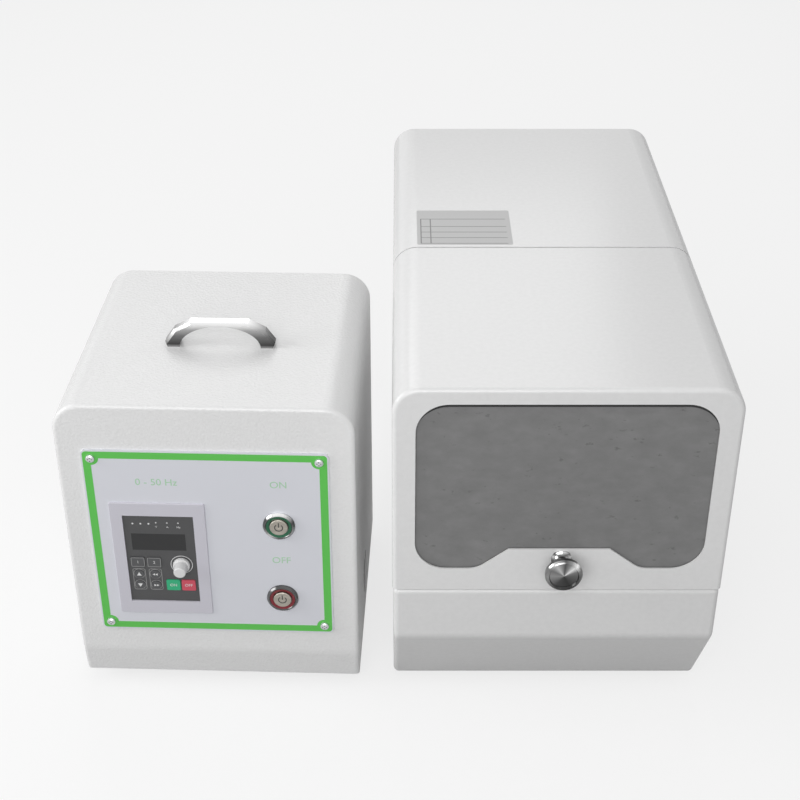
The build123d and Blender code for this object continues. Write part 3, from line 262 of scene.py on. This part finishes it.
def mottled():
    """Grey coat with soft pale clouds and a few faint dark flecks."""
    shade = Shade("mottled_grey", grey(0.20), 0.5)
    clouds = shade.noise(60.0, 5.0, 0.6, (0.8, 1.0, 1.3))
    base = shade.ramp(
        clouds, [(0.30, grey(0.180)), (0.50, grey(0.200)), (0.62, grey(0.214)), (0.78, grey(0.236))]
    )
    fleck = shade.noise(170.0, 3.0, 0.6, (0.7, 1.0, 1.2))
    mask = shade.ramp(fleck, [(0.27, grey(0.0)), (0.34, grey(1.0))])
    mix = shade.node("ShaderNodeMix", data_type="RGBA")
    shade.link(mask, mix.inputs[0])
    mix.inputs[6].default_value = (0.14, 0.14, 0.14, 1.0)
    shade.link(base, mix.inputs[7])
    shade.tint(mix.outputs[2])
    shade.bump(clouds, 0.2, 0.0002)
    return shade.material


knob_lo, knob_hi = corner_box("lid_knob")
knob_middle = ((knob_lo[0] + knob_hi[0]) / 2, (knob_lo[2] + knob_hi[2]) / 2)
handle_top = corner_box("carry_handle")[1][2]
handle_foot = floor_height + case_height * mm

mill_coat = paint("mill_coat", grey(0.80), 0.20, 260.0, 0.0001, 0.3)
case_coat = paint("case_coat", grey(0.80), 0.26, 520.0, 0.0005, 0.7)
tray_coat = paint("tray_coat", grey(0.76), 0.24, 260.0, 0.0001, 0.3)
inner_coat = paint("inner_coat", grey(0.62), 0.5)
window_coat = mottled()
black_rubber = plain("black_rubber", grey(0.025), 0.7)
foam = plain("foam", grey(0.03), 0.85, 0.0, 1500.0, 0.0001)
zinc = brushed("zinc", (0.62, 0.63, 0.65), 0.32)
ground_steel = brushed("ground_steel", (0.58, 0.59, 0.60), 0.25)
stainless = brushed("stainless", (0.66, 0.66, 0.65), 0.22)
# painted reflection: dark sectors and bright highlight streaks round the knob's centre
knob_chrome_painted_reflection = reflection_wedges(
    "knob_chrome_painted_reflection",
    knob_middle,
    [
        (0.00, grey(0.30)),
        (0.16, grey(0.08)),
        (0.32, grey(0.05)),
        (0.50, grey(0.14)),
        (0.56, grey(0.22)),
        (0.62, grey(0.85)),
        (0.68, grey(0.30)),
        (0.74, grey(0.10)),
        (0.84, grey(0.55)),
        (0.92, grey(0.20)),
        (1.00, grey(0.30)),
    ],
    0.18,
)
# painted reflection: dark bands with two bright highlight bands across the rosette's height
rosette_chrome_painted_reflection = height_reflections(
    "rosette_chrome_painted_reflection",
    knob_middle[1] - 8.2 * mm,
    knob_middle[1] + 8.2 * mm,
    [(0.0, grey(0.10)), (0.55, grey(0.14)), (0.72, grey(0.60)), (0.84, grey(0.10)), (1.0, grey(0.75))],
    0.15,
)
# painted highlight: dark low down and bright at the top of the handle, with painted reflection bands between
handle_chrome_painted_reflection = height_reflections(
    "handle_chrome_painted_reflection",
    handle_foot,
    handle_top,
    [(0.0, grey(0.35)), (0.12, grey(0.06)), (0.45, grey(0.16)), (0.72, grey(0.38)), (1.0, grey(0.95))],
    0.14,
)
# painted reflection: light and dark sectors with bright highlights round the start button's centre, used on
# both bezels
bezel_painted_reflection = reflection_wedges(
    "bezel_painted_reflection",
    on_box(button_x, 0, start_z)[::2],
    [
        (0.00, grey(0.12)),
        (0.14, grey(0.55)),
        (0.24, grey(0.10)),
        (0.44, grey(0.30)),
        (0.56, grey(0.08)),
        (0.70, grey(0.80)),
        (0.80, grey(0.90)),
        (0.90, grey(0.15)),
        (1.00, grey(0.12)),
    ],
    0.16,
)
cast_grey = paint("cast_grey", (0.10, 0.125, 0.15), 0.45, 700.0, 0.0003)
cover_grey = paint("cover_grey", (0.14, 0.17, 0.20), 0.4, 500.0, 0.0002)
black_plastic = plain("black_plastic", (0.03, 0.03, 0.032), 0.45)
magnet_dark = plain("magnet_dark", (0.25, 0.25, 0.26), 0.3, 1.0)
panel_print = plain("panel_print", (0.70, 0.71, 0.76), 0.42)
frame_grey = plain("frame_grey", (0.60, 0.59, 0.65), 0.42)
keypad_grey = plain("keypad_grey", (0.068, 0.068, 0.070), 0.5)
key_grey = plain("key_grey", (0.080, 0.081, 0.084), 0.5)
display_dark = plain("display_dark", (0.014, 0.014, 0.015), 0.3)
key_green = plain("key_green", (0.03, 0.42, 0.20), 0.4)
key_red = plain("key_red", (0.60, 0.08, 0.12), 0.4)
dial_white = plain("dial_white", (0.74, 0.74, 0.74), 0.35)
push_steel = brushed("push_steel", (0.42, 0.39, 0.34), 0.35)
border_green = plain("border_green", (0.11, 0.53, 0.085), 0.45)
line_white = plain("line_white", grey(0.75), 0.5)
line_grey = plain("line_grey", grey(0.34), 0.5)
legend_green = plain("legend_green", (0.40, 0.64, 0.43), 0.5)
ring_green = plain("ring_green", (0.008, 0.11, 0.05), 0.3)
ring_red = plain("ring_red", (0.20, 0.012, 0.02), 0.3)
# dark print for the push buttons' power signs, and painted shade for the screw heads' cross recesses
dark_print_and_recess_shade = plain("dark_print_and_recess_shade", grey(0.03), 0.5)
label_blank = plain("label_blank", grey(0.50), 0.35)
label_line = plain("label_line", grey(0.22), 0.5)

looks = {
    mill_coat: ["rear_housing", "hood_shell"],
    case_coat: ["controller_case"],
    tray_coat: ["base_tray"],
    inner_coat: ["chamber_bulkhead", "controller_chassis"],
    window_coat: ["window_panel"],
    black_rubber: ["base_feet", "isolation_mounts", "controller_feet"],
    # the window gasket is real black foam, and where it shows along the window's top edge it also stands in as
    # painted shade under the opening's edge
    foam: ["jaw_pad", "jar_seal", "window_gasket"],
    zinc: [
        "housing_screws",
        "hinge_brackets",
        "motor_inlet",
        "hood_fasteners",
        "hinge_ears",
        "catch_strike",
        "panel_screws",
        "motor_outlet",
    ],
    ground_steel: [
        "platform_plate",
        "motor_bearings",
        "rotor",
        "eccentric_weights",
        "guide_rods",
        "clamp_screw",
        "clamp_jaw",
    ],
    stainless: ["jar_seat", "jar_body", "jar_lid"],
    knob_chrome_painted_reflection: ["lid_knob"],
    rosette_chrome_painted_reflection: ["knob_rosette"],
    handle_chrome_painted_reflection: ["carry_handle"],
    bezel_painted_reflection: ["button_bezels"],
    cast_grey: ["motor_body", "clamp_frame"],
    cover_grey: ["motor_end_covers"],
    black_plastic: [
        "interlock_switch",
        "clamp_handwheel",
        "inverter_body",
        "fan_frame",
        "fan_rotor",
        "power_inlet",
    ],
    magnet_dark: ["catch_magnet"],
    panel_print: ["front_panel"],
    frame_grey: ["inverter_frame"],
    keypad_grey: ["keypad_face"],
    key_grey: ["mode_key", "enter_key", "up_key", "down_key", "left_key", "right_key"],
    display_dark: ["display_window"],
    key_green: ["run_key"],
    key_red: ["reset_key"],
    dial_white: ["pot_knob"],
    push_steel: ["start_button", "stop_button"],
}
for material, names in looks.items():
    for node_name in names:
        mesh = nodes[node_name].data
        mesh.materials.clear()
        mesh.materials.append(material)


# ---- prints and marks ----------------------------------------------------------------
def facing_out(points, faces):
    """The faces, all turned over if they would point into the piece."""
    volume = 0.0
    for face in faces:
        first = points[face[0]]
        for a, b in zip(face[1:], face[2:]):
            volume += float(np.dot(first, np.cross(points[a], points[b])))
    return faces if volume > 0 else [face[::-1] for face in faces]


def solid(name, points, faces, material, body, place):
    """A closed mesh piece on a body, from points in a unit's own millimetres."""
    placed = np.array([place(*point) for point in points], float)
    centred = placed - placed.mean(axis=0)
    mesh = bpy.data.meshes.new(name)
    mesh.from_pydata(placed.tolist(), [], facing_out(centred, faces))
    mesh.materials.append(material)
    mesh.validate()
    mesh.update()
    piece = bpy.data.objects.new(name, mesh)
    bpy.context.scene.collection.objects.link(piece)
    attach(piece, body)
    return piece


def rounded(x0, x1, z0, z1, radius, steps=8):
    """Outline of a rounded rectangle, anticlockwise as seen from the front."""
    points = []
    centres = [(x1 - radius, z0 + radius, -90), (x1 - radius, z1 - radius, 0)]
    centres += [(x0 + radius, z1 - radius, 90), (x0 + radius, z0 + radius, 180)]
    for cx, cz, start in centres:
        for step in range(steps + 1):
            angle = radians(start + 90 * step / steps)
            points.append((cx + radius * cos(angle), cz + radius * sin(angle)))
    return points


def circle(x, z, radius, steps=48):
    """Outline of a circle, anticlockwise as seen from the front."""
    turns = [2 * pi * step / steps for step in range(steps)]
    return [(x + radius * cos(turn), z + radius * sin(turn)) for turn in turns]


def flat(y):
    """A surface at one depth."""
    return lambda x, z: y


def plate(name, outline, surface, material, body, place=on_box, lift=film):
    """A thin plate that lies on a surface and stands out of it by its lift."""
    count = len(outline)
    points = [(x, surface(x, z) - lift, z) for x, z in outline]
    points += [(x, surface(x, z) + film, z) for x, z in outline]
    faces = [list(range(count)), [2 * count - 1 - i for i in range(count)]]
    for i in range(count):
        j = (i + 1) % count
        faces.append([j, i, count + i, count + j])
    return solid(name, points, faces, material, body, place)


def band(name, outer, inner, surface, material, body, place=on_box, lift=film):
    """A thin ring between two outlines with the same number of points."""
    count = len(outer)
    points = [(x, surface(x, z) - lift, z) for x, z in outer + inner]
    points += [(x, surface(x, z) + film, z) for x, z in outer + inner]
    faces = []
    for i in range(count):
        j = (i + 1) % count
        faces.append([i, j, count + j, count + i])
        faces.append([2 * count + j, 2 * count + i, 3 * count + i, 3 * count + j])
        faces.append([j, i, 2 * count + i, 2 * count + j])
        faces.append([count + i, count + j, 3 * count + j, 3 * count + i])
    return solid(name, points, faces, material, body, place)


def outline_band(name, x0, x1, z0, z1, radius, width, surface, material, body):
    """A printed rounded frame."""
    outer = rounded(x0, x1, z0, z1, radius)
    inner = rounded(x0 + width, x1 - width, z0 + width, z1 - width, max(radius - width, 0.1))
    return band(name, outer, inner, surface, material, body)


def words(name, text, x, z, height, y, material, body):
    """Plain lettering as a thin mesh on the control box, its capitals that high."""
    curve = bpy.data.curves.new(name + "_curve", "FONT")
    curve.body = text
    curve.extrude = 0.5
    curve.align_x = "CENTER"
    curve.align_y = "CENTER"
    source = bpy.data.objects.new(name + "_source", curve)
    bpy.context.scene.collection.objects.link(source)
    bpy.context.view_layer.update()
    mesh = bpy.data.meshes.new_from_object(source)
    bpy.data.objects.remove(source)
    size = height / 0.70
    for vertex in mesh.vertices:
        across, up, out = vertex.co
        vertex.co = on_box(x + across * size, y - (out + 0.5) * film, z + up * size)
    mesh.materials.clear()
    mesh.materials.append(material)
    mesh.name = name
    mesh.update()
    piece = bpy.data.objects.new(name, mesh)
    bpy.context.scene.collection.objects.link(piece)
    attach(piece, body)
    return piece


# front panel: green border that bulges round the corner screws, and the legends
panel_face = flat(-panel_sheet)
outer = rounded(-panel_half + margin, panel_half - margin, panel_bottom + margin, panel_top - margin, 3.0)
inner = rounded(-panel_half + border, panel_half - border, panel_bottom + border, panel_top - border, 1.0)
band("panel_border", outer, inner, panel_face, border_green, "controller")
screw_half = panel_half - screw_inset
screw_places = [
    (side * screw_half, z)
    for side in (-1, 1)
    for z in (panel_bottom + screw_inset, panel_top - screw_inset)
]
for number, (x, z) in enumerate(screw_places):
    plate(f"border_bulge_{number}", circle(x, z, bulge), panel_face, border_green, "controller", lift=0.06)

    def head(px, pz, x=x, z=z):
        """The screw head's slightly domed face."""
        return head_dome * hypot(px - x, pz - z) / head_radius - screw_face

    # painted shade: a dark cross on each screw head where its cross recess falls in shade
    cross = [(slot_half, slot_thick), (slot_thick, slot_half)]
    for arm, (reach_x, reach_z) in enumerate(cross):
        bar = rounded(x - reach_x, x + reach_x, z - reach_z, z + reach_z, 0.2, 3)
        plate(f"screw_recess_shade_{number}_{arm}", bar, head, dark_print_and_recess_shade, "controller", lift=0.05 + 0.02 * arm)

words(
    "speed_legend", "0 - 50 Hz", keypad_x + 1.5, 202.3, legend_height, -panel_sheet, legend_green, "controller"
)
words("start_legend", "ON", button_x + 1.0, 201.8, legend_height, -panel_sheet, legend_green, "controller")
words("stop_legend", "OFF", button_x + 0.5, 127.2, legend_height, -panel_sheet, legend_green, "controller")

# keypad: printed frames, unit marks and a ring round the dial
pad = flat(-keypad_face)
columns = {"left": left_column, "right": right_column}
rows = {"upper": upper_row, "lower": lower_row}
for side, x in columns.items():
    z = (upper_row + lower_row) / 2
    edges = (x - 5.3, x + 5.3, z - 10.9, z + 10.9)
    outline_band(f"arrow_frame_{side}", *edges, 2.0, 0.4, pad, line_grey, "controller")
    for row, z in rows.items():
        band(f"arrow_ring_{side}_{row}", circle(x, z, 4.8), circle(x, z, 4.4), pad, line_grey, "controller")
band("dial_ring", circle(*dial, 9.1), circle(*dial, 8.6), pad, line_white, "controller")
for number, (x, text) in enumerate(((-2.0, "V"), (7.0, "A"), (16.0, "Hz"))):
    words(f"unit_{number}", text, keypad_x + x, keypad_z + 32.2, 1.9, -keypad_face, line_white, "controller")
    plate(
        f"unit_lamp_{number}",
        circle(keypad_x + x, keypad_z + 36.4, 0.6, 16),
        pad,
        line_white,
        "controller",
    )
for number in range(3):
    x = keypad_x - 21.0 + 6.5 * number
    plate(f"state_lamp_{number}", circle(x, keypad_z + 35.2, 0.8, 16), pad, line_white, "controller")

# keys
key_top = flat(-key_face)
for name, x, number in (("mode_key", left_column, "1"), ("enter_key", right_column, "2")):
    z = top_row
    cap = name + "_cap"
    outline_band(name + "_frame", x - 5.5, x + 5.5, z - 4.6, z + 4.6, 1.0, 0.4, key_top, line_grey, cap)
    words(name + "_mark", number, x, z, 2.6, -key_face, line_white, cap)


def arrow(name, x, z, turn, reach, body):
    """A small triangle on a key that points to the right, turned by an angle."""
    corners = []
    for angle in (0, 120, 240):
        lean = radians(angle + turn)
        corners.append((x + reach * cos(lean), z + reach * sin(lean)))
    plate(name, corners, key_top, line_white, body)


arrow("up_arrow", left_column, keypad_z - 16.1, 90, 2.3, "up_key_cap")
arrow("down_arrow", left_column, keypad_z - 26.7, 270, 2.3, "down_key_cap")
for number, dx in enumerate((-1.0, 1.2)):
    x = right_column
    arrow(f"left_arrow_{number}", x + dx, upper_row, 180, 1.3, "left_key_cap")
    arrow(f"right_arrow_{number}", x - dx, lower_row, 0, 1.3, "right_key_cap")
words("run_mark", "ON", run_column, word_row, 2.6, -key_face, line_white, "run_key_cap")
words("reset_mark", "OFF", reset_column, word_row, 2.6, -key_face, line_white, "reset_key_cap")

# push buttons: coloured ring in each bezel and a power sign on each face
bezel_front = panel_sheet + bezel_rise
push_front = bezel_front + push_rise
for push, body, z, ring_look in (
    ("start", "start_push", start_z, ring_green),
    ("stop", "stop_push", stop_z, ring_red),
):
    def cone(px, pz, z=z):
        """The bezel's sloping inner face."""
        return -bezel_front + 0.5 + 0.7 * (10.4 - hypot(px - button_x, pz - z)) / 2.7

    def dish(px, pz, z=z):
        """The push face's shallow dish."""
        return -push_front + 0.4 - 0.4 * min(hypot(px - button_x, pz - z) / 6.2, 1.0)

    ring_outer = circle(button_x, z, 10.3, 64)
    ring_inner = circle(button_x, z, 7.9, 64)
    band(push + "_ring", ring_outer, ring_inner, cone, ring_look, "controller", lift=0.1)
    arc = [radians(128 + 284 * step / 32) for step in range(33)]
    outside = [(button_x + 3.6 * cos(turn), z + 3.6 * sin(turn)) for turn in arc]
    inside = [(button_x + 2.8 * cos(turn), z + 2.8 * sin(turn)) for turn in reversed(arc)]
    plate(push + "_sign", outside + inside, dish, dark_print_and_recess_shade, body)
    stroke = rounded(button_x - 0.42, button_x + 0.42, z, z + 4.8, 0.2, 3)
    plate(push + "_stroke", stroke, dish, dark_print_and_recess_shade, body)

# blank label on the rear housing, with ruled lines and no wording
label_lift = 0.02
label_x0 = -109.0
label_x1 = -26.0
label_y0 = 241.0
label_y1 = 312.0
top = flat(0.0)
sheet_outline = rounded(label_x0, label_x1, label_y0, label_y1, 2.0)
plate("label_sheet", sheet_outline, top, label_blank, "mill_base", on_mill_top, label_lift)
for number, share in enumerate((0.04, 0.20, 0.36, 0.52, 0.74)):
    y = label_y0 + share * (label_y1 - label_y0)
    line = rounded(label_x0 + 3, label_x1 - 4, y - 0.5, y + 0.5, 0.2, 2)
    plate(f"label_rule_{number}", line, top, label_line, "mill_base", on_mill_top, 1.5 * label_lift)
for number, x in enumerate((label_x0 + 3.5, label_x0 + 12.0)):
    line = rounded(x - 0.5, x + 0.5, label_y0 + 3, label_y0 + 52, 0.2, 2)
    plate(f"label_column_{number}", line, top, label_line, "mill_base", on_mill_top, 1.2 * label_lift)

# ---- stage ---------------------------------------------------------------------------
def straight_rays(shade):
    """Two masks: camera rays alone, and those with mirrored and clear-piece rays added."""
    path = shade.node("ShaderNodeLightPath")
    bright = shade.math("MAXIMUM", path.outputs["Is Glossy Ray"], path.outputs["Is Transmission Ray"])
    return path.outputs["Is Camera Ray"], shade.math("MAXIMUM", path.outputs["Is Camera Ray"], bright)


floor_mesh = bpy.data.meshes.new("floor")
floor_mesh.from_pydata([(-6, -6, 0), (6, -6, 0), (6, 6, 0), (-6, 6, 0)], [], [[0, 1, 2, 3]])
floor_shade = Shade("floor_white", grey(0.80), 0.9)
seen, straight = straight_rays(floor_shade)
tone = floor_shade.node("ShaderNodeMix", data_type="RGBA")
floor_shade.link(straight, tone.inputs[0])
tone.inputs[6].default_value = (0.25, 0.25, 0.25, 1.0)
tone.inputs[7].default_value = (0.80, 0.80, 0.80, 1.0)
floor_shade.tint(tone.outputs[2])
glow = floor_shade.node("ShaderNodeEmission", Strength=1.0)
glow.inputs["Color"].default_value = (1.0, 1.0, 1.0, 1.0)
mix = floor_shade.node("ShaderNodeMixShader")
share = floor_shade.math("MULTIPLY", straight, mirror_glow)
share = floor_shade.math("MULTIPLY_ADD", seen, floor_glow - mirror_glow, share)
floor_shade.link(share, mix.inputs["Fac"])
floor_shade.link(floor_shade.shader.outputs[0], mix.inputs[1])
floor_shade.link(glow.outputs[0], mix.inputs[2])
output = floor_shade.tree.nodes["Material Output"]
floor_shade.link(mix.outputs[0], output.inputs["Surface"])
floor_mesh.materials.append(floor_shade.material)
floor = bpy.data.objects.new("floor", floor_mesh)
bpy.context.scene.collection.objects.link(floor)

world = bpy.data.worlds.new("studio")
bpy.context.scene.world = world
world.use_nodes = True
tree = world.node_tree
background = tree.nodes["Background"]
background.inputs["Color"].default_value = (1.0, 1.0, 1.0, 1.0)
light_path = tree.nodes.new("ShaderNodeLightPath")
mirrored = tree.nodes.new("ShaderNodeMath")
mirrored.operation = "MAXIMUM"
tree.links.new(light_path.outputs["Is Glossy Ray"], mirrored.inputs[0])
tree.links.new(light_path.outputs["Is Transmission Ray"], mirrored.inputs[1])
direct = tree.nodes.new("ShaderNodeMath")
direct.operation = "MAXIMUM"
tree.links.new(light_path.outputs["Is Camera Ray"], direct.inputs[0])
tree.links.new(mirrored.outputs[0], direct.inputs[1])
level = tree.nodes.new("ShaderNodeMapRange")
level.inputs["To Min"].default_value = world_level
level.inputs["To Max"].default_value = 1.0
tree.links.new(direct.outputs[0], level.inputs["Value"])
tree.links.new(level.outputs["Result"], background.inputs["Strength"])


def lamp(name, place, target, size, power):
    """A square soft lamp that faces a target."""
    data = bpy.data.lights.new(name, "AREA")
    data.energy = power
    data.size = size
    made = bpy.data.objects.new(name, data)
    made.location = place
    aim = np.array(target, float) - np.array(place, float)
    aim /= np.linalg.norm(aim)
    yaw = np.arctan2(aim[1], aim[0]) - pi / 2
    pitch = np.arcsin(aim[2])
    made.rotation_euler = (pi / 2 + pitch, 0, yaw)
    bpy.context.scene.collection.objects.link(made)
    return made


lamp("behind", (-0.2, 1.75, 1.9), (0.0, 0.0, 0.2), 1.6, behind_power)
lamp("front", (-0.3, -1.9, 1.25), (0.0, 0.0, 0.15), 1.4, front_power)
lamp("side", (-1.8, -0.4, 0.9), (0.0, 0.0, 0.15), 1.0, side_power)

camera_data = bpy.data.cameras.new("camera")
camera_data.lens = 66.58
camera_data.sensor_width = 36.0
camera_data.clip_start = 0.05
camera_data.clip_end = 30.0
camera = bpy.data.objects.new("camera", camera_data)
camera.location = (mill_left + 0.00603, mill_front - 0.91758, 0.88432)
camera.rotation_euler = (radians(90 - 31.68), 0, 0)
bpy.context.scene.collection.objects.link(camera)
bpy.context.scene.camera = camera
bpy.context.scene.view_settings.view_transform = "Standard"
